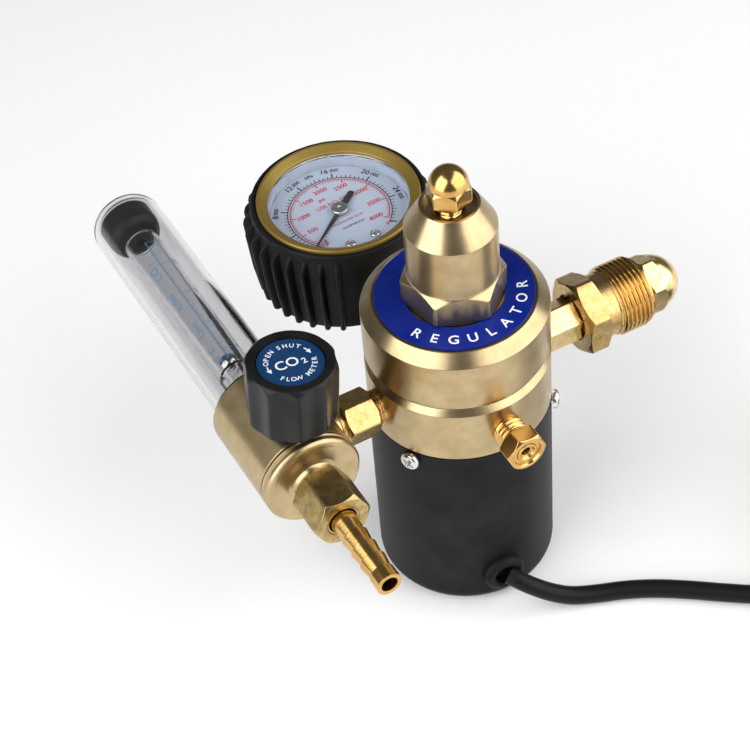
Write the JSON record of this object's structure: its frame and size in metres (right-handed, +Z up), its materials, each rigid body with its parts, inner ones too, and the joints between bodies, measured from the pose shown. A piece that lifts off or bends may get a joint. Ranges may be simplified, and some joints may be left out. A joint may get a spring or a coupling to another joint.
{
  "type": "carbon dioxide regulator",
  "caption": "Brass gas pressure regulator with a heated black base, a booted bottle gauge, a clear flowmeter tube with a knob and hose barb, an inlet nut and a mains lead.",
  "frame": {"origin": "centre of the flat bottom of the heater housing", "axes": "+Z up the body axis, +X along the bottle inlet, +Y towards the gauge, -X to the outlet and flowmeter, -Y to the relief valve"},
  "size_m": [0.2716, 0.2591, 0.1686],
  "materials": {
    "brass_satin": "satin turned brass with fine lathe lines",
    "brass_polished": "polished brass, slightly orange",
    "brass_fitting": "bright machined brass with a slight mottle",
    "bezel_gold": "olive gold painted ring",
    "case_steel": "black painted steel",
    "steel": "plain turned steel",
    "spring_steel": "drawn spring wire",
    "chrome": "bright plated steel",
    "aluminium": "machined aluminium",
    "housing_black": "satin moulded dark grey plastic",
    "rubber_black": "matt moulded rubber",
    "cord_black": "smooth black cord sheath",
    "plug_black": "moulded plug",
    "knob_black": "glossy moulded plastic",
    "disc_blue": "printed blue disc",
    "label_blue": "printed royal blue label",
    "dial_white": "white dial with printed scales",
    "needle_black": "black painted pointer",
    "seal_plastic": "hard seat plastic",
    "clear_plastic": "clear slightly grey moulded tube",
    "lens_glass": "flat clear window"
  },
  "bodies": {
    "regulator": {"heater_housing": "housing_black", "housing_screw_1": "chrome", "housing_screw_2": "chrome", "housing_screw_3": "chrome", "cord_grommet": "rubber_black", "heater_block": "aluminium", "heater_cartridges": "steel", "lower_body": "brass_satin", "bonnet": "brass_satin", "label_ring": "label_blue", "spring_bonnet": "brass_satin", "range_spring": "spring_steel", "diaphragm": "rubber_black", "valve_seat": "seal_plastic", "poppet_spring": "spring_steel", "inlet_stem": "brass_fitting", "inlet_nose": "brass_fitting", "inlet_filter": "brass_satin", "gauge_case": "case_steel", "gauge_bezel": "bezel_gold", "gauge_lens": "lens_glass", "gauge_dial": "dial_white", "dial_screw_1": "chrome", "dial_screw_2": "chrome", "bourdon_tube": "brass_satin", "gauge_stem": "brass_fitting", "gauge_boot": "rubber_black", "relief_valve_body": "brass_polished", "relief_valve_cap": "brass_polished", "relief_spring": "spring_steel", "outlet_fitting": "brass_fitting", "flowmeter_body": "brass_satin", "flowmeter_end_cap": "brass_satin", "flow_tube": "clear_plastic", "tube_gasket": "rubber_black", "metering_tube": "clear_plastic", "tube_stopper": "rubber_black", "valve_gland": "brass_fitting", "hose_barb": "brass_polished", "power_cord": "cord_black", "cord_coil": "cord_black", "coil_tie": "rubber_black", "plug_body": "plug_black", "plug_pin_1": "steel", "plug_pin_2": "steel"},
    "spring_carriage": {"spring_button": "steel"},
    "adjuster": {"adjusting_screw": "brass_polished", "acorn_nut": "brass_polished"},
    "valve": {"diaphragm_plate": "aluminium", "valve_poppet": "brass_polished"},
    "inlet_coupling": {"inlet_nut": "brass_fitting"},
    "sector": {"gauge_sector": "brass_satin"},
    "needle": {"gauge_needle": "needle_black"},
    "relief_valve": {"relief_poppet": "steel"},
    "flow_stem": {"flow_valve_stem": "steel"},
    "flow_knob": {"flow_knob": "knob_black", "knob_disc": "disc_blue"},
    "float_ball": {"float_ball": "chrome"},
    "hose_coupling": {"hose_nut": "brass_fitting"}
  },
  "joints": [
    {"name": "adjuster_turn", "type": "hinge", "parent": "spring_carriage", "child": "adjuster", "pos_m": [0, 0, 0.15], "axis": [0, 0, 1], "range_deg": [-720, 1440]},
    {"name": "spring_load", "type": "slide", "parent": "regulator", "child": "spring_carriage", "axis": [0, 0, 1], "range_m": [-0.0025, 0.005], "deforming": ["range_spring"]},
    {"name": "valve_travel", "type": "slide", "parent": "regulator", "child": "valve", "axis": [0, 0, -1], "range_m": [0, 0.0008], "stiffness_N_per_m": 600, "deforming": ["diaphragm", "poppet_spring"]},
    {"name": "inlet_nut_turn", "type": "hinge", "parent": "regulator", "child": "inlet_coupling", "pos_m": [0.055, 0, 0.0837], "axis": [1, 0, 0], "continuous": true},
    {"name": "sector_turn", "type": "hinge", "parent": "regulator", "child": "sector", "pos_m": [0, 0.0668, 0.08], "axis": [0, 0, 1], "range_deg": [0, 43.5]},
    {"name": "needle_turn", "type": "hinge", "parent": "regulator", "child": "needle", "pos_m": [0, 0.07885, 0.08], "axis": [0, 0, 1], "range_deg": [-261, 0]},
    {"name": "relief_lift", "type": "slide", "parent": "regulator", "child": "relief_valve", "axis": [0, -1, 0], "range_m": [0, 0.0015], "stiffness_N_per_m": 900, "deforming": ["relief_spring"]},
    {"name": "flow_knob_turn", "type": "hinge", "parent": "flow_stem", "child": "flow_knob", "pos_m": [-0.0614, -0.0033, 0.083], "axis": [0.0732, 0, 0.9973], "range_deg": [0, 1080]},
    {"name": "flow_stem_rise", "type": "slide", "parent": "regulator", "child": "flow_stem", "axis": [0.0732, 0, 0.9973], "range_m": [0, 0.00225]},
    {"name": "ball_travel", "type": "slide", "parent": "regulator", "child": "float_ball", "axis": [0, 1, 0], "range_m": [0, 0.064]},
    {"name": "hose_nut_turn", "type": "hinge", "parent": "regulator", "child": "hose_coupling", "pos_m": [-0.0614, -0.028, 0.083], "axis": [0, 1, 0], "continuous": true}
  ],
  "couplings": [
    {"joint": "adjuster_turn", "follows": "spring_load", "rad_per_m": 5026.5},
    {"joint": "needle_turn", "follows": "sector_turn", "ratio": -6},
    {"joint": "flow_knob_turn", "follows": "flow_stem_rise", "rad_per_m": 8377.6}
  ]
}
